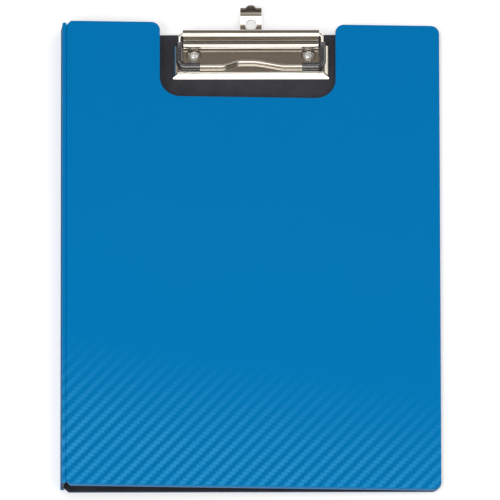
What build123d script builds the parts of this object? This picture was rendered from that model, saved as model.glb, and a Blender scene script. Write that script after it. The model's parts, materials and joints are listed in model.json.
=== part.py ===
from build123d import *
import os
from math import acos, asin, atan2, cos, degrees, hypot, pi, radians, sin, sqrt

# Clipboard folder for A4 paper: a board with a lever clip, and a cover that folds over it.
# It lies closed on its back. X runs across the board from the clip's centre line,
# Y runs up the board from its middle, and Z is the height over the table.
# All sizes are millimetres, and all angles are degrees.

# The folded sheet: a black core with a coloured skin on its outer side.
board_height = 320.0
back_width = 240.0
cover_width = 240.0
core_thickness = 1.4
skin_thickness = 0.4
corner_radius = 5.5
fold_corner_cut = 3.0
sheet = core_thickness + skin_thickness
board_top = board_height / 2
full_turn = 360
match_tolerance = 0.01

# The spine strip between its two fold lines, which leans in when the folder is shut.
clip_to_rear_fold = 120.6
spine_width = 12.2
spine_lean = 5.6
spine_end_gap = 1.7
fold_radius = 0.9
fold_setback = 1.4
fold_web = 1.1
cover_rest_gap = 0.3

# Cut-outs: the notch in the cover that bares the clip, and the recess in the back's top edge.
notch_width = 112.2
notch_depth = 51.2
notch_offset = -2.1
notch_radius = 13.0
notch_lip_radius = 5.5
recess_width = 128.0
recess_depth = 5.4
recess_radius = 2.4

# Inner pocket: clear film, welded to the cover's inside along three sides.
pocket_width = 218.0
pocket_height = 212.0
pocket_fold_margin = 5.0
pocket_foot_margin = 9.0
film_thickness = 0.3
weld_thickness = 0.2
weld_width = 3.0
thumb_cut_radius = 11.0

# Clip base: a shallow pressed tray, open below, with a sloped front wall and flatter side walls.
clip_metal = 0.8
base_half_width = 46.8
base_from_board_top = 11.2
base_length = 21.9
base_stand = 1.8
base_slope_run = 3.0
base_side_slope_run = 5.1
base_side_width = 3.0
base_bend_radius = 2.4
base_corner_slot = 0.7
base_side_stop = 2.6
base_rear = board_top - base_from_board_top
base_front = base_rear - base_length
base_height = base_stand + clip_metal
base_top = sheet + base_height

# Rivets: dome heads sunk in round dimples, with flat rear heads let into the board.
rivet_half_spacing = 36.6
rivet_from_front = 12.7
rivet_head_radius = 3.4
rivet_head_height = 2.4
rivet_shank_radius = 1.5
rivet_foot_radius = 3.5
rivet_foot_thickness = 0.75
rivet_foot_recess = 0.1
dimple_radius = 4.7
dimple_floor_radius = 4.0
seat_clearance = 0.05
rivet_y = base_front + rivet_from_front

# Hinge of the lever: a pin in two upright ears of the base.
hinge_from_rear = 2.8
hinge_rise = 2.5
pin_radius = 1.0
pin_half_length = 42.9
pin_chamfer = 0.25
ear_inner_x = 41.0
ear_radius = 1.9
ear_neck = 2.9
ear_window = 3.4
running_clearance = 0.05
hinge_y = base_rear - hinge_from_rear
hinge_z = base_top + hinge_rise

# Press lever: one strip of sheet metal, S-shaped from the roll over the pin to the thumb edge.
lever_half_width = 43.6
lever_foot_half_width = 43.1
roll_radius = 2.6
roll_low_angle = 215.0
roll_high_angle = 75.0
valley_radius = 1.0
wall_angle = 50.0
wall_length = 2.9
brow_radius = 1.0
lip_angle = 4.0
lip_length = 1.6
thumb_roll_radius = 2.4
thumb_roll_turn = 112.0
cheek_radius = 1.9
wire_eye_radius = 2.0
cheek_top_radius = 1.2
roll_slit_angle = 143.0
roll_slit_length = 2.1
roll_slit_mouth = 1.0

# Wire bail with rubber sleeves on its corners; its ends are held in the lever's cheeks.
bail_wire_radius = 1.1
sleeve_radius = 2.3
bail_rest_gap = 0.15
bail_bar_from_front = 4.1
bail_half_width = 45.6
bail_corner_radius = 3.4
bail_bend_from_hinge = 1.5
bail_bend_radius = 6.0
bail_end_radius = 2.4
bail_end_x = 38.4
bail_end_back = 5.3
bail_end_rise = 3.6
hump_depth = 3.1
hump_points = (-17.4, -7.8, 3.7, 20.0)
hump_radii = (12.0, 12.0, 25.0, 25.0)
sleeve_inner_x = 32.6
sleeve_past_hinge = 1.0
bar_y = base_front + bail_bar_from_front
bar_z = base_top + bail_rest_gap + sleeve_radius
end_y = hinge_y + bail_end_back
end_z = hinge_z + bail_end_rise

# Torsion springs round the pin: one leg on the base, the other under the bail's wire end.
spring_wire_radius = 0.35
coil_radius = 1.5
coil_pitch = 1.2
coil_whole_turns = 4
coil_outer_gap = 0.32
spring_leg_gap = 0.05
spring_foot_back = 1.6
spring_leg_overrun = 1.0

# Hanging eyelet: a strip that slides out from under the base, with a turned-up finger tab.
eyelet_thickness = 1.0
eyelet_float = 0.15
eyelet_half_width = 6.8
eyelet_side_gap = 0.3
eyelet_head_half_width = 10.0
eyelet_head_length = 4.8
eyelet_stop_gap = 0.2
eyelet_hole_radius = 3.75
eyelet_hole_reach = 12.2
eyelet_flat_reach = 18.3
tab_bend_radius = 3.5
tab_angle = 60.0
tab_shoulder_height = 2.55
tab_height = 4.55
tab_radius = 3.6
eyelet_bottom = sheet + eyelet_float

# Places of the fold lines, worked out from the lean of the spine.
lean_cos = cos(radians(spine_lean))
lean_sin = sin(radians(spine_lean))
rear_fold_x = -clip_to_rear_fold
rear_fold_z = sheet / 2
front_fold_x = rear_fold_x + spine_width * lean_sin
front_fold_z = rear_fold_z + spine_width * lean_cos
back_free_x = rear_fold_x + back_width

# The shut cover slopes down until it lies a little over the free edge of the back.
cover_run = back_free_x - front_fold_x
cover_fall = front_fold_z - sheet
cover_slope = degrees(
    atan2(cover_fall, cover_run) - asin((sheet / 2 + cover_rest_gap) / hypot(cover_run, cover_fall))
)
slope_cos = cos(radians(cover_slope))
slope_sin = sin(radians(cover_slope))

# The cover's middle plane, and the plane across the spine, each with its origin on a fold line.
cover_plane = Plane(
    origin=(front_fold_x, 0, front_fold_z),
    x_dir=(slope_cos, 0, -slope_sin),
    z_dir=(slope_sin, 0, slope_cos),
)
spine_plane = Plane(
    origin=(rear_fold_x, 0, rear_fold_z),
    x_dir=(lean_sin, 0, lean_cos),
    z_dir=(0, -1, 0),
)
spine_length = board_height - 2 * spine_end_gap


def save(piece, name):
    """Label a finished piece and write it to its own file."""
    piece.part.label = name
    export_step(piece.part, f"parts/{name}.step")


os.makedirs("parts", exist_ok=True)

# Outline of the back: square corners cut off at the fold, round ones at the free edge,
# and a shallow recess behind the clip.
back_left = rear_fold_x + fold_setback
with BuildSketch() as back_outline:
    with Locations(((back_left + back_free_x) / 2, 0)):
        Rectangle(back_free_x - back_left, board_height)
    chamfer(back_outline.vertices().group_by(Axis.X)[0], fold_corner_cut)
    fillet(back_outline.vertices().group_by(Axis.X)[-1], corner_radius)
    with Locations((0, board_top - recess_depth / 2)):
        Rectangle(recess_width, recess_depth, mode=Mode.SUBTRACT)
    recess_foot = back_outline.vertices().filter_by_position(
        Axis.Y,
        board_top - recess_depth - match_tolerance,
        board_top - recess_depth + match_tolerance,
    )
    fillet(recess_foot, recess_radius)

# Outline of the cover in its own plane, from the fold line to the free edge.
notch_middle = (notch_offset - front_fold_x) / slope_cos
notch_floor = board_top - notch_depth
with BuildSketch() as cover_outline:
    with Locations(((fold_setback + cover_width) / 2, 0)):
        Rectangle(cover_width - fold_setback, board_height)
    chamfer(cover_outline.vertices().group_by(Axis.X)[0], fold_corner_cut)
    fillet(cover_outline.vertices().group_by(Axis.X)[-1], corner_radius)
    with Locations((notch_middle, board_top - notch_depth / 2)):
        Rectangle(notch_width, notch_depth, mode=Mode.SUBTRACT)
    notch_corners = cover_outline.vertices().filter_by_position(
        Axis.Y,
        notch_floor - match_tolerance,
        notch_floor + match_tolerance,
    )
    fillet(notch_corners, notch_radius)
    notch_lips = [
        corner
        for corner in cover_outline.vertices().group_by(Axis.Y)[-1]
        if abs(abs(corner.X - notch_middle) - notch_width / 2) < match_tolerance
    ]
    fillet(notch_lips, notch_lip_radius)

# Back board: the black core. The rivets pass through it, and their feet lie in its underside.
rivet_places = [(-rivet_half_spacing, rivet_y), (rivet_half_spacing, rivet_y)]
rivet_foot_top = rivet_foot_recess + rivet_foot_thickness
with BuildPart() as back_panel:
    with BuildSketch(Plane.XY.offset(skin_thickness)):
        add(back_outline.sketch)
    extrude(amount=core_thickness)
    with BuildSketch(Plane.XY):
        with Locations(*rivet_places):
            Circle(rivet_shank_radius + seat_clearance)
    extrude(amount=sheet, mode=Mode.SUBTRACT)
    with BuildSketch(Plane.XY):
        with Locations(*rivet_places):
            Circle(rivet_foot_radius + seat_clearance)
    extrude(amount=rivet_foot_top + seat_clearance, mode=Mode.SUBTRACT)
save(back_panel, "back_panel")

# Back skin: the coloured outer side of the back, which lies on the table.
with BuildPart() as back_skin:
    with BuildSketch(Plane.XY):
        add(back_outline.sketch)
        with Locations(*rivet_places):
            Circle(rivet_foot_radius + seat_clearance, mode=Mode.SUBTRACT)
    extrude(amount=skin_thickness)
save(back_skin, "back_skin")

# Cover: the black core and its coloured skin, both cut to the cover's outline.
with BuildPart() as front_panel:
    with BuildSketch(cover_plane.offset(-sheet / 2)):
        add(cover_outline.sketch)
    extrude(amount=core_thickness)
save(front_panel, "front_panel")

with BuildPart() as front_skin:
    with BuildSketch(cover_plane.offset(sheet / 2 - skin_thickness)):
        add(cover_outline.sketch)
    extrude(amount=skin_thickness)
save(front_skin, "front_skin")

# Spine: core and skin, drawn across the strip and drawn out along it.
spine_flat = spine_width - 2 * fold_setback
for name, low, thickness in (
    ("spine_panel", -sheet / 2, core_thickness),
    ("spine_skin", sheet / 2 - skin_thickness, skin_thickness),
):
    with BuildPart() as spine_layer:
        with BuildSketch(spine_plane):
            with Locations((spine_width / 2, low + thickness / 2)):
                Rectangle(spine_flat, thickness)
        extrude(amount=spine_length / 2, both=True)
    save(spine_layer, name)

# Fold lines: the thinned webs on which the sheet bends, each joined to the spine.
for name, fold_at, toward in (("rear_crease", 0, 1), ("front_crease", spine_width, -1)):
    with BuildPart() as crease:
        with BuildSketch(spine_plane):
            with Locations((fold_at, 0)):
                Circle(fold_radius)
            with Locations((fold_at + toward * fold_setback / 2, 0)):
                Rectangle(fold_setback, fold_web)
        extrude(amount=spine_length / 2, both=True)
    save(crease, name)

# Inner pocket: a film with a weld bead under its foot and both sides, open at the top.
pocket_middle = pocket_fold_margin + pocket_width / 2
pocket_centre = -board_top + pocket_foot_margin + pocket_height / 2
with BuildPart() as inner_pocket:
    with BuildSketch(cover_plane.offset(-sheet / 2 - weld_thickness - film_thickness)) as film:
        with Locations((pocket_middle, pocket_centre)):
            Rectangle(pocket_width, pocket_height)
        with Locations((pocket_middle, pocket_centre + pocket_height / 2)):
            Circle(thumb_cut_radius, mode=Mode.SUBTRACT)
    extrude(amount=film_thickness)
    with BuildSketch(cover_plane.offset(-sheet / 2 - weld_thickness)) as weld:
        with Locations((pocket_middle, pocket_centre)):
            Rectangle(pocket_width, pocket_height)
        with Locations((pocket_middle, pocket_centre + weld_width)):
            Rectangle(pocket_width - 2 * weld_width, pocket_height, mode=Mode.SUBTRACT)
    extrude(amount=weld_thickness)
save(inner_pocket, "inner_pocket")

# Clip base: the tray is drawn down from a flat top to a wider foot, then hollowed from below.
# Its corners are slit and its side walls cut off just over the board. Its rear wall has
# a window for the eyelet, and two ears carry the pin.
base_middle = (base_front + base_rear) / 2
foot_front = base_front - base_slope_run
foot_half_width = base_half_width + base_side_slope_run
corner_length = hypot(base_side_slope_run, base_slope_run)
corner_turn = degrees(atan2(base_slope_run, base_side_slope_run))
window_height = eyelet_float + eyelet_thickness + eyelet_side_gap
with BuildPart() as clip_base_plate:
    with BuildSketch(Plane.XY.offset(sheet)):
        with Locations((0, (foot_front + base_rear) / 2)):
            Rectangle(2 * foot_half_width, base_rear - foot_front)
    with BuildSketch(Plane.XY.offset(base_top)):
        with Locations((0, base_middle)):
            Rectangle(2 * base_half_width, base_length)
    loft(ruled=True)
    tray_foot = clip_base_plate.faces().sort_by(Axis.Z)[0]
    offset(amount=-clip_metal, openings=tray_foot, kind=Kind.INTERSECTION)
    fillet(clip_base_plate.faces().sort_by(Axis.Z)[-1].edges(), base_bend_radius)
    with BuildSketch(Plane.XY.offset(sheet)) as corner_cuts:
        for side in (-1, 1):
            corner_x = side * (base_half_width + base_side_slope_run / 2)
            corner_y = base_front - base_slope_run / 2
            with Locations(Location((corner_x, corner_y, 0), (0, 0, side * -corner_turn))):
                Rectangle(corner_length, base_corner_slot)
            with Locations((side * foot_half_width, base_rear)):
                Rectangle(2 * base_side_slope_run, 2 * base_side_stop)
    extrude(amount=base_height, mode=Mode.SUBTRACT)
    with BuildSketch(Plane.XY.offset(sheet)):
        with Locations((0, (foot_front + base_rear) / 2)):
            Rectangle(2 * (base_half_width + base_side_width), base_rear - foot_front)
    extrude(amount=base_height, mode=Mode.INTERSECT)
    with BuildSketch(Plane.XZ.offset(-base_rear)):
        with Locations((0, sheet + window_height / 2)):
            Rectangle(2 * (eyelet_half_width + eyelet_side_gap), window_height)
    extrude(amount=2 * clip_metal, mode=Mode.SUBTRACT)
    with Locations(*[(x, y, sheet) for x, y in rivet_places]):
        Cone(
            dimple_floor_radius + clip_metal,
            dimple_radius + clip_metal,
            base_stand,
            align=(Align.CENTER, Align.CENTER, Align.MIN),
        )
    with Locations(*[(x, y, sheet + clip_metal) for x, y in rivet_places]):
        Cone(
            dimple_floor_radius,
            dimple_radius,
            base_stand,
            align=(Align.CENTER, Align.CENTER, Align.MIN),
            mode=Mode.SUBTRACT,
        )
    with Locations(*[(x, y, sheet) for x, y in rivet_places]):
        Cylinder(
            rivet_shank_radius + seat_clearance,
            clip_metal,
            align=(Align.CENTER, Align.CENTER, Align.MIN),
            mode=Mode.SUBTRACT,
        )
    with BuildSketch(Plane.XY.offset(base_top - clip_metal)):
        for side in (-1, 1):
            with Locations((side * (ear_inner_x - ear_window / 2), hinge_y + ear_radius - ear_neck / 2)):
                Rectangle(ear_window, ear_neck)
    extrude(amount=clip_metal, mode=Mode.SUBTRACT)
    for side in (-1, 1):
        with BuildSketch(Plane.YZ.offset(side * ear_inner_x)):
            with Locations((hinge_y, hinge_z)):
                Circle(ear_radius)
            with Locations((hinge_y + ear_radius - ear_neck / 2, (hinge_z + base_top - clip_metal) / 2)):
                Rectangle(ear_neck, hinge_rise + clip_metal)
            with Locations((hinge_y, hinge_z)):
                Circle(pin_radius + running_clearance, mode=Mode.SUBTRACT)
        extrude(amount=side * clip_metal)
save(clip_base_plate, "clip_base_plate")

# Rivets: turned shapes, each with a dome head, a shank and a flat foot.
dimple_floor_z = sheet + clip_metal
head_crown = dimple_floor_z + rivet_head_height
with BuildPart() as clip_rivets:
    for x, y in rivet_places:
        with BuildSketch(Plane.XZ.offset(-y)):
            with BuildLine():
                Polyline(
                    (x, head_crown),
                    (x, rivet_foot_recess),
                    (x + rivet_foot_radius, rivet_foot_recess),
                    (x + rivet_foot_radius, rivet_foot_top),
                    (x + rivet_shank_radius, rivet_foot_top),
                    (x + rivet_shank_radius, dimple_floor_z),
                    (x + rivet_head_radius, dimple_floor_z),
                )
                TangentArc(
                    (x, head_crown),
                    (x + rivet_head_radius, dimple_floor_z),
                    tangent=(1, 0),
                )
            make_face()
        revolve(axis=Axis((x, y, 0), (0, 0, 1)))
save(clip_rivets, "clip_rivets")

# Hinge pin: a plain round rod, its ends inside the lever's cheeks.
with BuildPart() as hinge_pin:
    with BuildSketch(Plane.YZ):
        with Locations((hinge_y, hinge_z)):
            Circle(pin_radius)
    extrude(amount=pin_half_length, both=True)
    chamfer(hinge_pin.edges().filter_by(GeomType.CIRCLE), pin_chamfer)
save(hinge_pin, "hinge_pin")


def heading(angle):
    """Unit direction in the side view, at an angle above the way to the rear."""
    return Vector(cos(radians(angle)), sin(radians(angle)))


# Press lever: the strip's middle line is a chain of arcs and straights. It starts under the
# front of the roll, goes over the pin, up the wall, back along the lip and down the thumb edge.
hinge_point = Vector(hinge_y, hinge_z)
roll_turn = roll_high_angle - roll_low_angle
valley_turn = wall_angle - (roll_high_angle - 90)
with BuildPart() as press_lever:
    with BuildSketch(Plane.YZ) as lever_side:
        with BuildLine():
            roll = JernArc(
                hinge_point + heading(roll_low_angle) * roll_radius,
                heading(roll_low_angle - 90),
                roll_radius,
                roll_turn,
            )
            valley = JernArc(roll @ 1, roll % 1, valley_radius, valley_turn)
            wall = Line(valley @ 1, (valley @ 1) + (valley % 1) * wall_length)
            brow = JernArc(wall @ 1, wall % 1, brow_radius, lip_angle - wall_angle)
            lip = Line(brow @ 1, (brow @ 1) + (brow % 1) * lip_length)
            JernArc(lip @ 1, lip % 1, thumb_roll_radius, -thumb_roll_turn)
        trace(line_width=clip_metal)
    extrude(amount=lever_half_width, both=True)
    lip_side_z = (wall @ 1).Y
    cheek_top = lip @ 0.5 - Vector(0, cheek_top_radius)
    with BuildSketch(Plane.XZ.offset(-hinge_y)):
        for side in (-1, 1):
            with Locations((side * lever_half_width, lip_side_z / 2)):
                Rectangle(2 * (lever_half_width - lever_foot_half_width), lip_side_z)
    extrude(amount=bail_end_back, both=True, mode=Mode.SUBTRACT)
    for side in (-1, 1):
        with BuildSketch(Plane.YZ.offset(side * lever_foot_half_width)):
            with BuildSketch() as cheek:
                with Locations((hinge_y, hinge_z)):
                    Circle(cheek_radius)
                with Locations((end_y, end_z)):
                    Circle(wire_eye_radius)
                with Locations((cheek_top.X, cheek_top.Y)):
                    Circle(cheek_top_radius)
                make_hull()
            with Locations((hinge_y, hinge_z)):
                Circle(pin_radius + running_clearance, mode=Mode.SUBTRACT)
            with Locations((end_y, end_z)):
                Circle(bail_wire_radius + seat_clearance, mode=Mode.SUBTRACT)
        extrude(amount=-side * clip_metal)
        slit_plane = Plane(
            origin=(side * lever_foot_half_width, hinge_y, hinge_z),
            x_dir=(side, 0, 0),
            z_dir=(0, heading(roll_slit_angle).X, heading(roll_slit_angle).Y),
        )
        with BuildSketch(slit_plane.offset(cheek_radius)):
            with BuildLine():
                Polyline(
                    (-roll_slit_length, 0),
                    (0, roll_slit_mouth / 2),
                    (0, -roll_slit_mouth / 2),
                    close=True,
                )
            make_face()
        extrude(amount=roll_radius, mode=Mode.SUBTRACT)
save(press_lever, "press_lever")

# Wire bail: one bent wire. Each end goes through a cheek, turns forward beside the lever,
# runs down to the plate and round a corner into the bar, which has a hump in its middle.
bend_y = hinge_y - bail_bend_from_hinge


def bail_leg(side):
    """Corner points of one side of the bail, from its end to the bar."""
    return [
        (side * bail_end_x, end_y, end_z),
        (side * bail_half_width, end_y, end_z),
        (side * bail_half_width, bend_y, bar_z),
        (side * bail_half_width, bar_y, bar_z),
    ]


hump = [
    (x, bar_y + rise, bar_z) for x, rise in zip(hump_points, (0, hump_depth, hump_depth, 0))
]
leg_radii = [bail_end_radius, bail_bend_radius, bail_corner_radius]
with BuildPart() as wire_bail:
    with BuildLine() as bail_line:
        FilletPolyline(
            *bail_leg(-1),
            *hump,
            *reversed(bail_leg(1)),
            radius=[*leg_radii, *hump_radii, *reversed(leg_radii)],
        )
    with BuildSketch(Plane(origin=bail_line.line @ 0, z_dir=bail_line.line % 0)):
        Circle(bail_wire_radius)
    sweep()
save(wire_bail, "wire_bail")

# Corner sleeves: rubber tubes pushed over the corners of the bail.
leg_rise = (end_z - bar_z) / (end_y - bend_y)
sleeve_top_y = hinge_y + sleeve_past_hinge
sleeve_top_z = bar_z + leg_rise * (sleeve_top_y - bend_y)
for name, side in (("corner_sleeve_left", -1), ("corner_sleeve_right", 1)):
    with BuildPart() as corner_sleeve:
        with BuildLine() as sleeve_line:
            FilletPolyline(
                (side * sleeve_inner_x, bar_y, bar_z),
                (side * bail_half_width, bar_y, bar_z),
                (side * bail_half_width, bend_y, bar_z),
                (side * bail_half_width, sleeve_top_y, sleeve_top_z),
                radius=[bail_corner_radius, bail_bend_radius],
            )
        with BuildSketch(Plane(origin=sleeve_line.line @ 0, z_dir=sleeve_line.line % 0)):
            Circle(sleeve_radius)
            Circle(bail_wire_radius + seat_clearance, mode=Mode.SUBTRACT)
        sweep()
    save(corner_sleeve, name)


def biarc(start, start_way, end, end_way):
    """Draw two arcs that leave the start and reach the end in the given directions."""
    gap = end - start
    a = 2 * (start_way.dot(end_way) - 1)
    b = -2 * gap.dot(start_way + end_way)
    c = gap.dot(gap)
    reach = (-b - sqrt(b * b - 4 * a * c)) / (2 * a)
    if reach < 0:
        reach = (-b + sqrt(b * b - 4 * a * c)) / (2 * a)
    first = start + start_way * reach
    last = end - end_way * reach
    middle = (first + last) / 2
    TangentArc(start, middle, tangent=start_way)
    TangentArc(middle, end, tangent=(last - first).normalized())


# Torsion springs: the foot leg lies on the base, the coil winds outward round the pin,
# and the lift leg pushes up under the inner end of the bail's wire.
foot_back = spring_foot_back
foot_drop = hinge_rise - spring_wire_radius - spring_leg_gap
foot_reach = hypot(foot_back, foot_drop)
coil_start = degrees(-atan2(foot_drop, foot_back) - acos(coil_radius / foot_reach))
eye_reach = hypot(bail_end_back, bail_end_rise)
leg_offset = coil_radius + bail_wire_radius + spring_wire_radius + spring_leg_gap
lift_angle = degrees(atan2(bail_end_rise, bail_end_back) - asin(leg_offset / eye_reach))
coil_end = 90 + lift_angle - full_turn
coil_turn = coil_start - coil_end + full_turn * coil_whole_turns
coil_length = coil_pitch * coil_turn / full_turn
coil_outer_x = ear_inner_x - coil_outer_gap - spring_wire_radius
coil_inner_x = coil_outer_x - coil_length
lift_length = sqrt(eye_reach**2 - leg_offset**2) + spring_leg_overrun
coil_steps = round(4 * coil_turn / full_turn)


def coil_place(turned):
    """Point and direction on the coil after the given turn."""
    angle = radians(coil_start - turned)
    rise = coil_pitch / (2 * pi * coil_radius)
    place = Vector(
        coil_inner_x + coil_pitch * turned / full_turn,
        hinge_y + coil_radius * cos(angle),
        hinge_z + coil_radius * sin(angle),
    )
    return place, Vector(rise, sin(angle), -cos(angle)).normalized()


with BuildPart() as torsion_springs:
    with BuildLine() as spring_line:
        places = [coil_place(coil_turn * step / coil_steps) for step in range(coil_steps + 1)]
        coil_first, first_way = places[0]
        coil_last, last_way = places[-1]
        foot_length = sqrt(foot_reach**2 - coil_radius**2)
        Line(coil_first - first_way * foot_length, coil_first)
        for (here, here_way), (there, there_way) in zip(places, places[1:]):
            biarc(here, here_way, there, there_way)
        Line(coil_last, coil_last + last_way * lift_length)
    spring_wire = spring_line.wires()[0]
    with BuildSketch(Plane(origin=spring_wire @ 0, z_dir=spring_wire % 0)):
        Circle(spring_wire_radius)
    sweep(path=spring_wire)
    mirror(about=Plane.YZ)
save(torsion_springs, "torsion_springs")

# Least gap between neighbouring turns, measured between points over half a turn apart.
sample_step = 6
half_turn_steps = full_turn // sample_step // 2
samples = [coil_place(turned)[0] for turned in range(0, int(coil_turn), sample_step)]
turn_gap = min(
    (samples[j] - samples[i]).length - 2 * spring_wire_radius
    for i in range(len(samples))
    for j in range(i + half_turn_steps, len(samples))
)
print("least gap between spring turns", round(turn_gap, 3))

# Hanging eyelet: a T-shaped head under the base, a strip with a round hole, and a bent-up tab.
head_rear = base_rear - clip_metal - eyelet_stop_gap
eyelet_middle_z = eyelet_bottom + eyelet_thickness / 2
board_edge = board_top - recess_depth
tab_start = base_rear + eyelet_flat_reach
tab_top = eyelet_bottom + eyelet_thickness + tab_height
shoulder_top = eyelet_bottom + eyelet_thickness + tab_shoulder_height
tab_climb = tab_top - eyelet_middle_z - tab_bend_radius * (1 - cos(radians(tab_angle)))
with BuildPart() as hanging_eyelet:
    with BuildSketch(Plane.YZ):
        with BuildLine():
            flat = Line((head_rear - eyelet_head_length, eyelet_middle_z), (tab_start, eyelet_middle_z))
            bend = JernArc(flat @ 1, flat % 1, tab_bend_radius, tab_angle)
            Line(bend @ 1, (bend @ 1) + (bend % 1) * (tab_climb / sin(radians(tab_angle))))
        trace(line_width=eyelet_thickness)
    extrude(amount=eyelet_half_width, both=True)
    with BuildSketch(Plane.XZ) as tab_face:
        with Locations((0, (eyelet_bottom + shoulder_top) / 2)):
            Rectangle(2 * eyelet_half_width, shoulder_top - eyelet_bottom)
        with Locations((0, tab_top - tab_radius)):
            Circle(tab_radius)
    extrude(amount=-2 * board_height, mode=Mode.INTERSECT)
    with BuildSketch(Plane.XY.offset(eyelet_bottom)):
        with Locations((0, head_rear - eyelet_head_length / 2)):
            Rectangle(2 * eyelet_head_half_width, eyelet_head_length)
    extrude(amount=eyelet_thickness)
    with BuildSketch(Plane.XY.offset(eyelet_bottom)):
        with Locations((0, base_rear + eyelet_hole_reach)):
            Circle(eyelet_hole_radius)
    extrude(amount=eyelet_thickness, mode=Mode.SUBTRACT)
save(hanging_eyelet, "hanging_eyelet")

print("cover slope", round(cover_slope, 4), "front fold", round(front_fold_x, 4), round(front_fold_z, 4))
print("hinge", round(hinge_y, 4), round(hinge_z, 4), "bail bar height", round(bar_z, 4))
print("eyelet hole", round(base_rear + eyelet_hole_reach, 4))
print("spring turns", round(coil_turn / full_turn, 3))
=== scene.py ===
import json
from math import cos, pi, radians, sin

import bmesh
import bpy
from mathutils import Matrix, Vector


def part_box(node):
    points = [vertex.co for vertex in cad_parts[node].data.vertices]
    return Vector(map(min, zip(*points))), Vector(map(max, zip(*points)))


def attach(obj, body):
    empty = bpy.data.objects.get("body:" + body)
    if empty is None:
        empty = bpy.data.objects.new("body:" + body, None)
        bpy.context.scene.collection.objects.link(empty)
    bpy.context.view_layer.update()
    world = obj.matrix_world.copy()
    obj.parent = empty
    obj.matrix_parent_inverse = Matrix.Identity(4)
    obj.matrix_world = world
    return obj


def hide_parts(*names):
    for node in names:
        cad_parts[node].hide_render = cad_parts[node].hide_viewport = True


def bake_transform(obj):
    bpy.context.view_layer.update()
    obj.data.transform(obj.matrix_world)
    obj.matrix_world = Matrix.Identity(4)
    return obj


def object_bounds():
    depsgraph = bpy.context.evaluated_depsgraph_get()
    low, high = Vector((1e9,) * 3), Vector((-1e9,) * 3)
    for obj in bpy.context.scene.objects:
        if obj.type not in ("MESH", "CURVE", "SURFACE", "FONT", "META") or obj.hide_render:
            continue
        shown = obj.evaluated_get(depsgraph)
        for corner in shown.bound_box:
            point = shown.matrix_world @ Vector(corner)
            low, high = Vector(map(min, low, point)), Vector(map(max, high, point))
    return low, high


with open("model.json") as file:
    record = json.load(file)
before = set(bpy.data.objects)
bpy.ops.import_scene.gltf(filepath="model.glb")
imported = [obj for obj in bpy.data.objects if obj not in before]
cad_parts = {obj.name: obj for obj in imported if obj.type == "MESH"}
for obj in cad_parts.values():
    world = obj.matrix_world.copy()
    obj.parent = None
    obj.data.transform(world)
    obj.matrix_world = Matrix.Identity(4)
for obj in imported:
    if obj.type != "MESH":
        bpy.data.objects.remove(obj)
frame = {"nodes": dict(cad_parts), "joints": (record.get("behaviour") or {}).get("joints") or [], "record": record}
cad_low, cad_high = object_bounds()

# Back board: a stiff black plastic sheet, punched to outline, with a shallow recess behind
# the clip. Its cut edges are a little rounded, and its face has a fine matt grain.
mm = 0.001
weld_distance = 0.002 * mm
flat_angle = radians(0.6)
crease_angle = radians(32)
grain_low, grain_high = 0.3, 0.7
board_edge = 0.2 * mm
board_color = (0.031, 0.029, 0.040)
board_dark = (0.027, 0.026, 0.036)
board_light = (0.041, 0.039, 0.052)


def copy_of(node):
    """A merged copy of a node's mesh, in which each flat region is one face."""
    bm = bmesh.new()
    bm.from_mesh(frame["nodes"][node].data)
    bmesh.ops.remove_doubles(bm, verts=bm.verts, dist=weld_distance)
    bmesh.ops.dissolve_limit(bm, angle_limit=flat_angle, verts=bm.verts, edges=bm.edges)
    return bm


def round_edges(bm, width, segments=2, among=None):
    """Round the sharp edges, or the sharp ones among those given."""
    sharp = [edge for edge in (among or bm.edges) if edge.calc_face_angle(0) > crease_angle]
    bmesh.ops.bevel(
        bm, geom=sharp, offset=width, offset_type="OFFSET", segments=segments,
        profile=0.5, affect="EDGES", clamp_overlap=True, material=-1,
    )


def finish_piece(bm, name, body, materials, replaced=()):
    """Turn a mesh into a piece that rides on a body and stands for the nodes it replaces."""
    for face in bm.faces:
        face.smooth = True
    for edge in bm.edges:
        edge.smooth = edge.calc_face_angle(0) < crease_angle
    mesh = bpy.data.meshes.new(name)
    bm.to_mesh(mesh)
    bm.free()
    piece = bpy.data.objects.new(name, mesh)
    bpy.context.scene.collection.objects.link(piece)
    for material in materials:
        mesh.materials.append(material)
    normals = piece.modifiers.new("even shading", "WEIGHTED_NORMAL")
    normals.keep_sharp = True
    if body:
        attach(piece, body)
    if replaced:
        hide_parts(*replaced)
    return piece


def start_material(name, color, roughness, metallic=0.0, specular=0.5):
    """A new material with its shader's plain values set."""
    material = bpy.data.materials.new(name)
    material.use_nodes = True
    material.diffuse_color = (*color, 1)
    shader = material.node_tree.nodes["Principled BSDF"]
    shader.inputs["Base Color"].default_value = (*color, 1)
    shader.inputs["Roughness"].default_value = roughness
    shader.inputs["Metallic"].default_value = metallic
    shader.inputs["Specular IOR Level"].default_value = specular
    return material, material.node_tree, shader


def add_node(tree, kind, inputs=(), **options):
    """Add a node, set its options, and link or set its inputs."""
    node = tree.nodes.new(kind)
    for option, value in options.items():
        setattr(node, option, value)
    for socket, value in dict(inputs).items():
        if isinstance(value, bpy.types.NodeSocket):
            tree.links.new(value, node.inputs[socket])
        else:
            node.inputs[socket].default_value = value
    return node


def noise(tree, size, detail=2.0, stretch=(1, 1, 1)):
    """Noise of the given grain size in metres, stretched along an axis by its factor."""
    place = add_node(tree, "ShaderNodeTexCoord").outputs["Object"]
    turned = add_node(
        tree, "ShaderNodeMapping",
        {"Vector": place, "Scale": [1 / (size * factor) for factor in stretch]},
    )
    grain = add_node(
        tree, "ShaderNodeTexNoise",
        {"Vector": turned.outputs[0], "Scale": 1.0, "Detail": detail},
    )
    return grain.outputs["Fac"]


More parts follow.
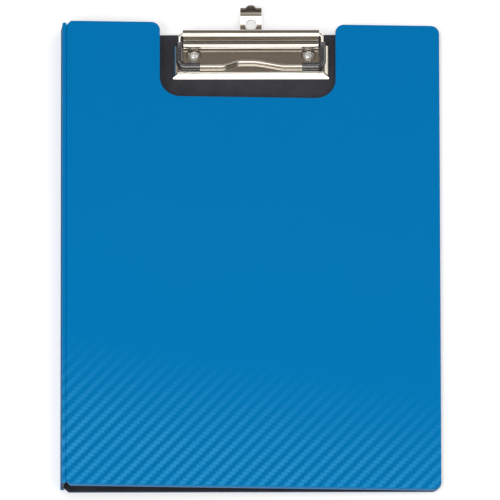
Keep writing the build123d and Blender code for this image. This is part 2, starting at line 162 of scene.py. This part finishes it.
def rescale(tree, value, start, end, low=0.0, high=1.0, **options):
    """Bring a value that runs from start to end to the range from low to high."""
    changed = add_node(
        tree, "ShaderNodeMapRange",
        {"Value": value, "From Min": start, "From Max": end, "To Min": low, "To Max": high},
        **options,
    )
    return changed.outputs[0]


def spread(tree, grain, low, high):
    """Bring noise from its middle range to the range given."""
    return rescale(tree, grain, grain_low, grain_high, low, high)


def mix_color(tree, amount, first, second):
    """The colour output of a mix between two colours or colour sockets."""
    node = tree.nodes.new("ShaderNodeMix")
    node.data_type = "RGBA"
    factor, first_color, second_color = node.inputs[0], node.inputs[6], node.inputs[7]
    for socket, value in ((factor, amount), (first_color, first), (second_color, second)):
        if isinstance(value, bpy.types.NodeSocket):
            tree.links.new(value, socket)
        elif isinstance(value, tuple):
            socket.default_value = (*value, 1)
        else:
            socket.default_value = value
    return node.outputs[2]


def roughen(tree, shader, grain, smoothest, roughest):
    """Let the surface's roughness change with a grain."""
    tree.links.new(spread(tree, grain, smoothest, roughest), shader.inputs["Roughness"])


def bump(tree, shader, height, depth, under=None):
    """Give the surface a relief of the given depth, over an earlier one if there is one."""
    inputs = {"Height": height, "Distance": depth, "Strength": 1.0}
    if under:
        inputs["Normal"] = under
    relief = add_node(tree, "ShaderNodeBump", inputs)
    tree.links.new(relief.outputs[0], shader.inputs["Normal"])
    return relief.outputs[0]


board_black, tree, shader = start_material("black board", board_color, 0.55)
cloudy = spread(tree, noise(tree, 9 * mm, 4), 0.0, 1.0)
tree.links.new(mix_color(tree, cloudy, board_dark, board_light), shader.inputs["Base Color"])
roughen(tree, shader, noise(tree, 1.2 * mm), 0.48, 0.64)
bump(tree, shader, noise(tree, 0.45 * mm, 3), 0.03 * mm)

bm = copy_of("back_panel")
round_edges(bm, board_edge)
finish_piece(bm, "back_board", "back", [board_black], ["back_panel"])

# Back cover skin: the coloured film on the outside of the back, on which the folder lies.
# It is the same film as on the cover, laminated to the board and cut with it.
skin_edge = 0.12 * mm
skin_gloss = 0.03
skin_cloud = 0.06
skin_top_color = (0.0, 0.172, 0.445)
# The lighter foot colour is painted light: the film itself is one blue all over.
skin_foot_painted_light_color = (0.0, 0.192, 0.480)


def skin_base(tree):
    """The film's blue, a little lighter towards the foot as painted light, with faint clouds in it."""
    place = add_node(tree, "ShaderNodeTexCoord").outputs["Object"]
    height = add_node(tree, "ShaderNodeSeparateXYZ", {"Vector": place}).outputs["Y"]
    down = rescale(tree, height, cad_high.y, cad_low.y)
    cloud = spread(tree, noise(tree, 38 * mm, 3), -skin_cloud, skin_cloud)
    level = add_node(tree, "ShaderNodeMath", {0: down, 1: cloud}, operation="ADD")
    return mix_color(tree, level.outputs[0], skin_top_color, skin_foot_painted_light_color)


skin_blue, tree, shader = start_material("blue skin", skin_top_color, 0.4, specular=skin_gloss)
tree.links.new(skin_base(tree), shader.inputs["Base Color"])
roughen(tree, shader, noise(tree, 2.5 * mm), 0.34, 0.46)
bump(tree, shader, noise(tree, 0.5 * mm, 3), 0.012 * mm)

bm = copy_of("back_skin")
round_edges(bm, skin_edge)
finish_piece(bm, "back_film", "back", [skin_blue], ["back_skin"])

# Spine: a narrow strip of the same sheet between the two folds, black inside and blue outside.
# Its film is drawn tight over the strip, which leaves it flatter and less glossy; its blue is darkened to half as
# painted shade.
spine_painted_shade = 0.5
spine_gloss = 0.02


def paint_shade_on_skin(tree, shader, share):
    """Give the surface the film's blue, darkened to a share of it as painted shade."""
    darker = add_node(
        tree, "ShaderNodeVectorMath", {0: skin_base(tree), "Scale": share}, operation="SCALE",
    )
    tree.links.new(darker.outputs[0], shader.inputs["Base Color"])


spine_blue, tree, shader = start_material("spine skin", skin_foot_painted_light_color, 0.6, specular=spine_gloss)
# Painted shade: the spine's blue is darkened to half of the film's.
paint_shade_on_skin(tree, shader, spine_painted_shade)
roughen(tree, shader, noise(tree, 2.5 * mm, 2, (1, 6, 1)), 0.5, 0.7)
bump(tree, shader, noise(tree, 0.5 * mm, 3), 0.012 * mm)

for node, name, slot, material in (
    ("spine_panel", "spine_board", "black_board", board_black),
    ("spine_skin", "spine_film", "blue_skin", spine_blue),
):
    bm = copy_of(node)
    round_edges(bm, skin_edge)
    finish_piece(bm, name, "spine", [material], [node])

# Cover board: the black inner side of the cover, a plain sheet set inside the film's rim.
# It is punched with the same outline and notch as the film.
rim = 0.45 * mm
rim_gap = 0.03 * mm
core_edge = 0.08 * mm
under_turn = 0.9
cover_probe = max(frame["nodes"]["front_skin"].data.polygons, key=lambda face: face.area).normal
cover_up = cover_probe.copy() if cover_probe.z > 0 else -cover_probe
cover_way = Vector((0, 1, 0)).cross(cover_up).normalized()


def underside(bm, up):
    """The largest face that looks away from the given way."""
    below = [face for face in bm.faces if face.normal.dot(up) < -under_turn]
    return max(below, key=lambda face: face.calc_area())


bm = copy_of("front_panel")
foot = underside(bm, cover_up)
heights = [vert.co.dot(cover_up) for vert in bm.verts]
core_thickness = max(heights) - min(heights)
core_floor = min(heights)
bmesh.ops.inset_region(bm, faces=[foot], thickness=rim + rim_gap, use_even_offset=True)
foot = underside(bm, cover_up)
bmesh.ops.delete(bm, geom=[face for face in bm.faces if face is not foot], context="FACES")
grown = bmesh.ops.extrude_face_region(bm, geom=bm.faces[:])
lifted = [item for item in grown["geom"] if isinstance(item, bmesh.types.BMVert)]
bmesh.ops.translate(bm, verts=lifted, vec=cover_up * (core_thickness - rim_gap))
bmesh.ops.recalc_face_normals(bm, faces=bm.faces)
round_edges(bm, core_edge)
finish_piece(bm, "cover_board", "front", [board_black], ["front_panel"])

# Cover film: the blue outer side of the cover. It is drawn over the rounded edge of the
# board and turned down round it, and is glossier where it is stretched at the foot. Near the
# foot it carries a printed and lightly embossed twill pattern, which fades out upwards.
shoulder = 0.85 * mm
shoulder_steps = 4
hem_edge = 0.12 * mm
hem_steps = 2
edge_turn = 0.985
foot_turn = 0.12
edge_painted_shade = 0.8
twill_cell_width = 2.08 * mm
twill_cell_height = 2.265 * mm
twill_repeat = 4.0
twill_over = 2.0
twill_bright = (0.022, 0.285, 0.605)
twill_dark = (0.0, 0.155, 0.385)
twill_full_at = -0.153
twill_none_at = -0.069
twill_slant = 0.16
twill_relief = 0.06 * mm
thread_side = 0.5
thread_end = 0.45
thread_glow = 0.62
rib_glow = 0.42
rib_shift = 0.5
gap_shade = 0.8
print_gloss = 0.12
print_least, print_most = 0.75, 1.05
standing_relief = 0.8

film_blue, tree, shader = start_material("cover film", skin_top_color, 0.4, specular=skin_gloss)
place = add_node(tree, "ShaderNodeTexCoord").outputs["Object"]
axes = add_node(tree, "ShaderNodeSeparateXYZ", {"Vector": place})


def reckon(operation, first, second=0.0):
    """The result of a sum, worked out by a node of the material being made."""
    return add_node(tree, "ShaderNodeMath", {0: first, 1: second}, operation=operation).outputs[0]


def crown(value):
    """A rounded profile, 0 at both ends of 0 to 1 and 1 in the middle."""
    centred = reckon("SUBTRACT", reckon("MULTIPLY", value, 2.0), 1.0)
    return reckon("SUBTRACT", 1.0, reckon("MULTIPLY", centred, centred))


def thread(along_thread, across_thread):
    """The rounded form of a thread where it lies on top, from the parts along and across."""
    side = reckon("POWER", crown(across_thread), thread_side)
    return reckon("MULTIPLY", side, reckon("POWER", crown(along_thread), thread_end))


across = reckon("DIVIDE", axes.outputs["X"], twill_cell_width)
along = reckon("DIVIDE", axes.outputs["Y"], twill_cell_height)
across_part = reckon("FRACT", across)
along_part = reckon("FRACT", along)
cells = reckon("SUBTRACT", reckon("FLOOR", across), reckon("FLOOR", along))
step = add_node(
    tree, "ShaderNodeMath", {0: cells, 1: twill_repeat, 2: 0.0}, operation="WRAP",
).outputs[0]
lying = reckon("LESS_THAN", step, twill_over - 0.5)
standing = reckon("SUBTRACT", 1.0, lying)
lying_length = reckon("DIVIDE", reckon("ADD", step, across_part), twill_over)
standing_step = reckon("SUBTRACT", twill_repeat - 1, step)
standing_length = reckon("DIVIDE", reckon("ADD", standing_step, along_part), twill_over)
lying_shown = reckon("MULTIPLY", lying, thread(lying_length, along_part))
standing_shown = reckon("MULTIPLY", standing, thread(standing_length, across_part))

slanted = reckon("ADD", axes.outputs["Y"], reckon("MULTIPLY", axes.outputs["X"], twill_slant))
fade = rescale(tree, slanted, twill_none_at, twill_full_at, interpolation_type="SMOOTHSTEP")
fade = reckon("MULTIPLY", fade, spread(tree, noise(tree, 16 * mm, 2), print_least, print_most))
rib_place = reckon("SUBTRACT", reckon("SUBTRACT", across, along), rib_shift)
rib_wave = reckon("COSINE", reckon("MULTIPLY", rib_place, 2 * pi / twill_repeat))
rib = reckon("MULTIPLY", reckon("ADD", rib_wave, 1.0), 0.5)
thread_light = reckon("MULTIPLY", lying_shown, thread_glow)
glow = reckon("MULTIPLY", reckon("ADD", thread_light, reckon("MULTIPLY", rib, rib_glow)), fade)
shade = reckon("MULTIPLY", standing, reckon("MULTIPLY", fade, gap_shade))
base = mix_color(tree, shade, skin_base(tree), twill_dark)
tree.links.new(mix_color(tree, glow, base, twill_bright), shader.inputs["Base Color"])
plain_roughness = spread(tree, noise(tree, 2.5 * mm), 0.34, 0.44)
glossed = reckon("SUBTRACT", plain_roughness, reckon("MULTIPLY", glow, print_gloss))
tree.links.new(glossed, shader.inputs["Roughness"])
raised = reckon("ADD", lying_shown, reckon("MULTIPLY", standing_shown, standing_relief))
weave = bump(tree, shader, reckon("MULTIPLY", raised, fade), twill_relief)
bump(tree, shader, noise(tree, 0.5 * mm, 3), 0.010 * mm, weave)

# The film's edge at the foot is a glossier copy of the film, its blue darkened a little as painted shade.
edge_blue, tree, shader = start_material("film edge", skin_top_color, 0.36)
paint_shade_on_skin(tree, shader, edge_painted_shade)
roughen(tree, shader, noise(tree, 1.5 * mm), 0.32, 0.42)
bump(tree, shader, noise(tree, 0.5 * mm, 3), 0.004 * mm)

bm = copy_of("front_skin")
heights = [vert.co.dot(cover_up) for vert in bm.verts]
skin_floor = min(heights)
skin_thickness = max(heights) - skin_floor
for vert in bm.verts:
    if vert.co.dot(cover_up) < skin_floor + skin_thickness / 2:
        vert.co += cover_up * (core_floor - vert.co.dot(cover_up))
roof_height = core_floor + core_thickness + skin_thickness
roof_edges = [
    edge for edge in bm.edges
    if all(vert.co.dot(cover_up) > roof_height - skin_thickness / 2 for vert in edge.verts)
]
round_edges(bm, shoulder, shoulder_steps, roof_edges)
foot = underside(bm, cover_up)
bmesh.ops.inset_region(bm, faces=[foot], thickness=rim, use_even_offset=True)
foot = underside(bm, cover_up)
bmesh.ops.translate(bm, verts=foot.verts, vec=cover_up * core_thickness)
hem = [
    edge for edge in bm.edges
    if all(vert.co.dot(cover_up) < core_floor + rim_gap for vert in edge.verts)
]
round_edges(bm, hem_edge, hem_steps, hem)
bm.normal_update()
for face in bm.faces:
    at_foot = abs(face.normal.dot(cover_up)) < edge_turn and face.normal.y < -foot_turn
    face.material_index = 1 if at_foot else 0
finish_piece(bm, "cover_film", "front", [film_blue, edge_blue], ["front_skin"])

# Folds: along each edge of the spine the sheet is pressed thin from inside, so that it bends
# like a hinge. Outside, the film runs round the fold in one smooth curve, and the fold at the
# cover carries the cover's print.
fold_outer = 0.9 * mm
fold_inner = 0.12 * mm
fold_run = 1.4 * mm
fold_steps = 12
fold_painted_shade = 0.92
fold_gloss = 0.1
end_pull = 0.5 * mm
inside_share = 0.62
hinges = {
    joint["name"]: Vector(joint["pos_m"]) for joint in frame["joints"] if "pos_m" in joint
}
rear_fold = hinges["spine_fold"]
front_fold = hinges["cover_fold"]
spine_low, spine_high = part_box("spine_skin")
spine_way = (front_fold - rear_fold).normalized()
back_way = Vector((-1, 0, 0))

fold_blue, tree, shader = start_material("folded skin", skin_foot_painted_light_color, 0.32, specular=fold_gloss)
# Painted shade: the rear fold's blue is darkened a little in the crease.
paint_shade_on_skin(tree, shader, fold_painted_shade)
roughen(tree, shader, noise(tree, 1.5 * mm, 2, (1, 9, 1)), 0.25, 0.4)
bump(tree, shader, noise(tree, 0.35 * mm, 2, (1, 14, 1)), 0.02 * mm)


def fold_web(name, node, centre, way_in, way_out, outer_material):
    """A thin curved web round a fold line, from a panel that arrives to one that leaves."""
    up = Vector((0, 1, 0))
    outward = way_in.cross(up).normalized()
    if outward.dot(way_out) > 0:
        outward = -outward
    turn = 1 if way_in.cross(way_out).dot(up) > 0 else -1
    bend = turn * way_in.angle(way_out)
    bm = bmesh.new()
    corners = []
    for radius, y in (
        (fold_inner, spine_low.y), (fold_outer, spine_low.y),
        (fold_outer, spine_high.y), (fold_inner, spine_high.y),
    ):
        point = centre + outward * radius
        corners.append(bm.verts.new((point.x, y, point.z)))
    section = bm.faces.new(corners)
    bmesh.ops.spin(
        bm, geom=[section], cent=centre, axis=up, angle=bend, steps=fold_steps,
        use_duplicate=False,
    )
    for along, out in ((-way_in, outward), (way_out, Matrix.Rotation(bend, 3, up) @ outward)):
        end_middle = centre + out * (fold_inner + fold_outer) / 2

        def from_end(face):
            """How far a face is from this end of the web, less if it looks along the sheet."""
            spot = face.calc_center_median()
            spot.y = end_middle.y
            return (spot - end_middle).length - end_pull * abs(face.normal.dot(along))

        cap = min(bm.faces, key=from_end)
        grown = bmesh.ops.extrude_face_region(bm, geom=[cap])
        bmesh.ops.delete(bm, geom=[cap], context="FACES_ONLY")
        moved = [item for item in grown["geom"] if isinstance(item, bmesh.types.BMVert)]
        bmesh.ops.translate(bm, verts=moved, vec=along * fold_run)
        end = centre + along * fold_run
        inner = [vert for vert in moved if (vert.co - end).dot(out) < fold_outer / 2]
        bmesh.ops.translate(bm, verts=inner, vec=out * -(fold_outer + fold_inner))
    bmesh.ops.recalc_face_normals(bm, faces=bm.faces)
    for face in bm.faces:
        spot = face.calc_center_median()
        spot.y = centre.y
        face.material_index = 1 if (spot - centre).length < fold_outer * inside_share else 0
    piece = finish_piece(bm, name, None, [outer_material, board_black], [node])
    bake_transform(piece)


fold_web(
    "rear_fold_web", "rear_crease", rear_fold, back_way, spine_way, fold_blue,
)
fold_web(
    "front_fold_web", "front_crease", front_fold, spine_way, cover_way, film_blue,
)

# Inner pocket: clear film for loose sheets, welded to the inside of the cover along its foot
# and both sides, with a thumb cut in its open top edge.
film_clear, tree, shader = start_material("clear film", (0.88, 0.92, 0.95), 0.12)
shader.inputs["Alpha"].default_value = 0.28
shader.inputs["Coat Weight"].default_value = 0.3
roughen(tree, shader, noise(tree, 14 * mm, 3), 0.08, 0.22)
bump(tree, shader, noise(tree, 22 * mm, 2), 0.25 * mm)
pocket = frame["nodes"]["inner_pocket"].data
pocket.materials.clear()
pocket.materials.append(film_clear)

# Clip base: a tray pressed from bright nickel-plated sheet steel, with sloped front and side
# walls, slit corners, and two dimples for the rivets. Two ears bent up from it hold the pin.
# The plating is thin and dull on the cut side edges; on the sides of the dimples the darker plating is painted
# shade.
press_edge = 0.10 * mm
nickel_light = (0.86, 0.83, 0.78)
nickel_dark = (0.78, 0.72, 0.66)
side_edge = 0.8 * mm
side_lean = 0.3
dimple_reach = 4.9 * mm
dimple_lean = 0.97
dimple_side = 0.55

nickel, tree, shader = start_material("nickel plate", (0.84, 0.80, 0.75), 0.07, 1.0)
stain = spread(tree, noise(tree, 5 * mm, 3, (6, 1, 1)), 0.0, 1.0)
tree.links.new(mix_color(tree, stain, nickel_light, nickel_dark), shader.inputs["Base Color"])
roughen(tree, shader, noise(tree, 1.5 * mm, 3, (10, 1, 1)), 0.05, 0.09)
bump(tree, shader, noise(tree, 9 * mm, 1, (5, 1, 1)), 0.03 * mm)

# The darker plating is real on cut edges; elsewhere it is set as painted shade and painted dark reflection.
dull_plate_and_painted_shade, tree, shader = start_material("dull and painted shade plate", (0.26, 0.235, 0.20), 0.34, 1.0)
roughen(tree, shader, noise(tree, 2 * mm, 2, (8, 1, 1)), 0.28, 0.4)
bump(tree, shader, noise(tree, 0.6 * mm, 2, (6, 1, 1)), 0.01 * mm)


def cut_faces(bm, spot, way):
    """Cut the faces that cross a plane through a spot, and keep both sides."""
    bmesh.ops.bisect_plane(
        bm, geom=bm.verts[:] + bm.edges[:] + bm.faces[:], plane_co=spot, plane_no=way,
    )


base_low, base_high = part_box("clip_base_plate")
rivet_low, rivet_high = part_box("clip_rivets")
rivet_y = (rivet_low.y + rivet_high.y) / 2
rivet_x = rivet_high.x - (rivet_high.y - rivet_low.y) / 2
left_edge, right_edge = base_low.x + side_edge, base_high.x - side_edge
bm = copy_of("clip_base_plate")
cut_faces(bm, (left_edge, 0, 0), (-1, 0, 0))
cut_faces(bm, (right_edge, 0, 0), (1, 0, 0))
round_edges(bm, press_edge)
for face in bm.faces:
    spot = face.calc_center_median()
    at_edge = not left_edge < spot.x < right_edge and abs(face.normal.x) > side_lean
    # The darker plating on the sides of the dimples is painted shade.
    from_rivet = Vector((abs(spot.x) - rivet_x, spot.y - rivet_y))
    painted_shade_in_dimple = from_rivet.length < dimple_reach and face.normal.z < dimple_lean
    painted_shade_in_dimple = painted_shade_in_dimple and abs(from_rivet.x) > dimple_side * from_rivet.length
    face.material_index = 1 if at_edge or painted_shade_in_dimple else 0
finish_piece(bm, "clip_base", "back", [nickel, dull_plate_and_painted_shade], ["clip_base_plate"])

# Rivets: two dome-headed steel rivets, which hold the clip to the board. Their plating is
# paler and less mirror-like than the sheet's.
rivet_plate, tree, shader = start_material("rivet plate", (0.93, 0.92, 0.90), 0.26, 0.6)
roughen(tree, shader, noise(tree, 1.2 * mm, 3), 0.20, 0.32)
bump(tree, shader, noise(tree, 1.6 * mm, 2), 0.01 * mm)

bm = copy_of("clip_rivets")
finish_piece(bm, "dome_rivets", "back", [rivet_plate], ["clip_rivets"])

# Hinge pin: a plain drawn rod, plated like the sheet. It runs through the ears of the base
# and the cheeks of the lever.
bm = copy_of("hinge_pin")
finish_piece(bm, "axle_pin", "back", [nickel], ["hinge_pin"])

# Torsion springs: two coils of drawn spring wire on the pin. One leg of each stands on the
# base, and the other lifts the inner end of the bail.
pin = hinges["clamp_press"]

spring_steel, tree, shader = start_material("spring wire", (0.42, 0.40, 0.38), 0.28, 1.0)
roughen(tree, shader, noise(tree, 0.4 * mm, 2, (1, 6, 6)), 0.2, 0.36)
for name, side in (("spring_left", -1), ("spring_right", 1)):
    bm = copy_of("torsion_springs")
    other = [face for face in bm.faces if face.calc_center_median().x * side < 0]
    bmesh.ops.delete(bm, geom=other, context="FACES")
    spring = finish_piece(bm, name, None, [spring_steel], ["torsion_springs"])
    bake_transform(spring)

# Press lever: one strip of the same plated sheet, rolled over the pin, bent up into a wall
# and back into a lip, with its rear edge rolled down for the thumb. Under the roll, in the
# valley behind it and on top of the cheeks, a darker plating is set as painted shade.
roll_reach = 3.3 * mm
under_slope = 0.07
valley_front, valley_rear = -1.5 * mm, 1.45 * mm
valley_low, valley_high = 2.5 * mm, 3.2 * mm
valley_lean = 0.6
cheek_from, cheek_rear = 42.2 * mm, 3.4 * mm
cheek_lean = 0.2
thumb_start = 0.85 * mm
thumb_run = 0.65 * mm
thumb_slope = 0.05

bm = copy_of("press_lever")
lip_cut = max(bm.verts, key=lambda vert: vert.co.z).co.y - thumb_start
cut_faces(bm, (0, lip_cut, 0), (0, 1, 0))
for vert in bm.verts:
    vert.co.z -= thumb_slope * min(max(0.0, vert.co.y - lip_cut), thumb_run)
round_edges(bm, press_edge)
bm.normal_update()
# Painted shade: faces under the roll, in the valley and on top of the cheeks get the darker plating.
for face in bm.faces:
    spot = face.calc_center_median() - pin
    painted_shade_under_roll = face.normal.z < under_slope and spot.z < 0 and abs(spot.y) < roll_reach
    painted_shade_in_valley = valley_front < spot.y < valley_rear and valley_low < spot.z < valley_high
    painted_shade_in_valley = painted_shade_in_valley and face.normal.z > valley_lean
    painted_shade_on_cheek = abs(spot.x) > cheek_from and 0 < spot.y < cheek_rear and spot.z > valley_low
    painted_shade_on_cheek = painted_shade_on_cheek and face.normal.z > cheek_lean
    face.material_index = 1 if painted_shade_under_roll or painted_shade_in_valley or painted_shade_on_cheek else 0
finish_piece(bm, "thumb_lever", "clamp", [nickel, dull_plate_and_painted_shade], ["press_lever"])

# Wire bail: one bent steel wire, nickel-plated, that presses the paper on the base. Its ends
# turn in at the lever's cheeks, and it has a hump in its middle.
bm = copy_of("wire_bail")
finish_piece(bm, "bail_wire", "clamp", [nickel], ["wire_bail"])

# Corner sleeves: soft black tubes pushed over the corners of the bail, so that it grips the
# paper without marking it.
sleeve_edge = 0.2 * mm
sleeve_rubber, tree, shader = start_material(
    "sleeve rubber", (0.018, 0.015, 0.024), 0.26, specular=1.0,
)
shader.inputs["Coat Weight"].default_value = 1.0
shader.inputs["Coat Roughness"].default_value = 0.2
shader.inputs["Coat IOR"].default_value = 1.8
roughen(tree, shader, noise(tree, 1.8 * mm, 3), 0.18, 0.34)
bump(tree, shader, noise(tree, 1.1 * mm, 2), 0.05 * mm)
for node, name in (("corner_sleeve_left", "sleeve_left"), ("corner_sleeve_right", "sleeve_right")):
    bm = copy_of(node)
    round_edges(bm, sleeve_edge)
    finish_piece(bm, name, "clamp", [sleeve_rubber], [node])

# Hanging eyelet: a plated strip that slides out from under the base, with a round hole to
# hang the folder by. It sweeps up a little towards its bent-up end for the finger. Its plating
# is dull on the cut edges, and the darker plating on the bent-up end is painted dark reflection.
sweep_before_hole = 2.5 * mm
sweep_run = 6.5 * mm
sweep_slope = 0.105
sweep_cut = 0.5 * mm
tab_from = 0.2
tab_clear = 3.0 * mm
edge_lean = 0.8
for mount in frame["record"]["mounts"]:
    if mount["name"] == "hanger_hole":
        hole = Vector(mount["pos_m"])
sweep_start = hole.y - sweep_before_hole
strip_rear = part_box("hanging_eyelet")[1].y
bm = copy_of("hanging_eyelet")
round_edges(bm, press_edge)
cut = sweep_start
while cut < strip_rear:
    cut_faces(bm, (0, cut, 0), (0, 1, 0))
    cut += sweep_cut
for vert in bm.verts:
    reach = max(0.0, vert.co.y - sweep_start)
    bent = min(reach, sweep_run)
    vert.co.z += sweep_slope * (bent * bent / (2 * sweep_run) + reach - bent)
bm.normal_update()
# The darker plating on the bent-up end is painted dark reflection; on the cut edges it is real.
for face in bm.faces:
    behind = face.calc_center_median().y - sweep_start - sweep_run
    painted_dark_tab = behind > tab_clear or behind > 0 and abs(face.normal.y) > tab_from
    cut_edge = abs(face.normal.z) < edge_lean
    face.material_index = 1 if painted_dark_tab or cut_edge else 0
finish_piece(bm, "eyelet_strip", "hanger", [nickel, dull_plate_and_painted_shade], ["hanging_eyelet"])

# Studio: a pale floor, a white surround and two soft lamps. The surround is white to the
# camera. To metal it shows bright panels in front and overhead in a dark room, with sides
# of their own tone.
floor_half = 12.0
floor_drop = 0.05 * mm
floor_lift = 0.28
surround_light = 0.72
surround_in_metal = 2.0
panel_white = (1.0, 1.0, 0.98)
room_stops = (
    (-90, panel_white),
    (-81.5, panel_white),
    (-80, (0.060, 0.050, 0.038)),
    (-77.5, (0.085, 0.070, 0.052)),
    (-75, (0.060, 0.050, 0.038)),
    (-73.5, panel_white),
    (-27, panel_white),
    (-20, (0.11, 0.10, 0.085)),
    (-6, (0.060, 0.050, 0.038)),
    (6, (0.085, 0.075, 0.062)),
    (9, panel_white),
    (16.5, panel_white),
    (19.0, (0.094, 0.081, 0.067)),
    (34, (0.068, 0.058, 0.048)),
    (55, (0.085, 0.083, 0.075)),
    (80, (0.14, 0.14, 0.135)),
    (90, (0.40, 0.40, 0.40)),
)
side_tones = (
    (0.18, 0.30, (0.045, 0.040, 0.034)),
    (0.60, 0.74, (0.50, 0.485, 0.445)),
    (-0.58, -0.72, (0.17, 0.165, 0.145)),
)

bm = bmesh.new()
bmesh.ops.create_grid(bm, x_segments=1, y_segments=1, size=floor_half)
bmesh.ops.translate(bm, verts=bm.verts, vec=(0, 0, -floor_drop))
mesh = bpy.data.meshes.new("floor")
bm.to_mesh(mesh)
bm.free()
floor = bpy.data.objects.new("floor", mesh)
bpy.context.scene.collection.objects.link(floor)
floor_white, tree, shader = start_material("floor", (0.9, 0.9, 0.9), 0.6, specular=0.2)
rays = add_node(tree, "ShaderNodeLightPath").outputs
shown = reckon("MAXIMUM", rays["Is Camera Ray"], rays["Is Glossy Ray"])
shown = reckon("MAXIMUM", shown, rays["Is Transmission Ray"])
tree.links.new(reckon("MULTIPLY", shown, floor_lift), shader.inputs["Emission Strength"])
shader.inputs["Emission Color"].default_value = (1, 1, 1, 1)
mesh.materials.append(floor_white)

world = bpy.data.worlds.new("studio")
bpy.context.scene.world = world
world.use_nodes = True
tree = world.node_tree
surround = tree.nodes["Background"]
rays = add_node(tree, "ShaderNodeLightPath").outputs
way = add_node(tree, "ShaderNodeTexCoord").outputs["Generated"]
parts = add_node(tree, "ShaderNodeSeparateXYZ", {"Vector": way}).outputs
lean_part = rescale(tree, reckon("ARCTAN2", parts["Y"], parts["Z"]), -pi / 2, pi / 2)
room = add_node(tree, "ShaderNodeValToRGB", {"Fac": lean_part})
ramp = room.color_ramp
for index, (angle, color) in enumerate(room_stops):
    place = (angle + 90) / 180
    stop = ramp.elements[index] if index < 2 else ramp.elements.new(place)
    stop.position = place
    stop.color = (*color, 1)
seen_in_metal = room.outputs["Color"]
for side_from, side_full, side_color in side_tones:
    at_side = rescale(tree, parts["X"], side_from, side_full)
    seen_in_metal = mix_color(tree, at_side, seen_in_metal, side_color)
seen_in_metal = add_node(
    tree, "ShaderNodeVectorMath", {0: seen_in_metal, "Scale": surround_in_metal},
    operation="SCALE",
).outputs[0]
plain = (surround_light, surround_light, surround_light)
mirrored = reckon("MAXIMUM", rays["Is Glossy Ray"], rays["Is Transmission Ray"])
light = mix_color(tree, mirrored, plain, seen_in_metal)
light = mix_color(tree, rays["Is Camera Ray"], light, (1.0, 1.0, 1.0))
tree.links.new(light, surround.inputs["Color"])
surround.inputs["Strength"].default_value = 1.0


def soft_lamp(name, spot, aim, size, power):
    """A square soft lamp at a spot, turned to its aim, which metal doesn't mirror."""
    lamp = bpy.data.lights.new(name, "AREA")
    lamp.shape = "SQUARE"
    lamp.size = size
    lamp.energy = power
    holder = bpy.data.objects.new(name, lamp)
    bpy.context.scene.collection.objects.link(holder)
    holder.location = spot
    holder.rotation_euler = (Vector(aim) - Vector(spot)).to_track_quat("-Z", "Y").to_euler()
    holder.visible_glossy = False


soft_lamp("key_lamp", (-0.9, -0.9, 1.5), (0, 0, 0), 1.0, 9.7)
soft_lamp("fill_lamp", (1.2, 0.5, 1.4), (0, 0, 0), 1.2, 5.4)

# Camera: the photograph's view, from in front and high up. It stands far away with a long
# lens, so near and far edges keep nearly the same scale.
view_elevation = radians(67.5)
view_distance = 14.66
view_aim = Vector((-0.83, 6.5, 0)) * mm
view_roll = radians(-0.1)
sensor_width = 36.0
frame_width = 0.3186
camera_data = bpy.data.cameras.new("camera")
camera_data.sensor_width = sensor_width
camera_data.lens = sensor_width * view_distance / frame_width
camera_data.clip_start = 0.1
camera_data.clip_end = 100.0
camera = bpy.data.objects.new("camera", camera_data)
bpy.context.scene.collection.objects.link(camera)
toward = Vector((0, -cos(view_elevation), sin(view_elevation)))
facing = toward.to_track_quat("Z", "Y").to_matrix().to_4x4()
stand = Matrix.Translation(view_aim + toward * view_distance)
camera.matrix_world = stand @ facing @ Matrix.Rotation(view_roll, 4, "Z")
bpy.context.scene.camera = camera
bpy.context.scene.view_settings.view_transform = "Standard"
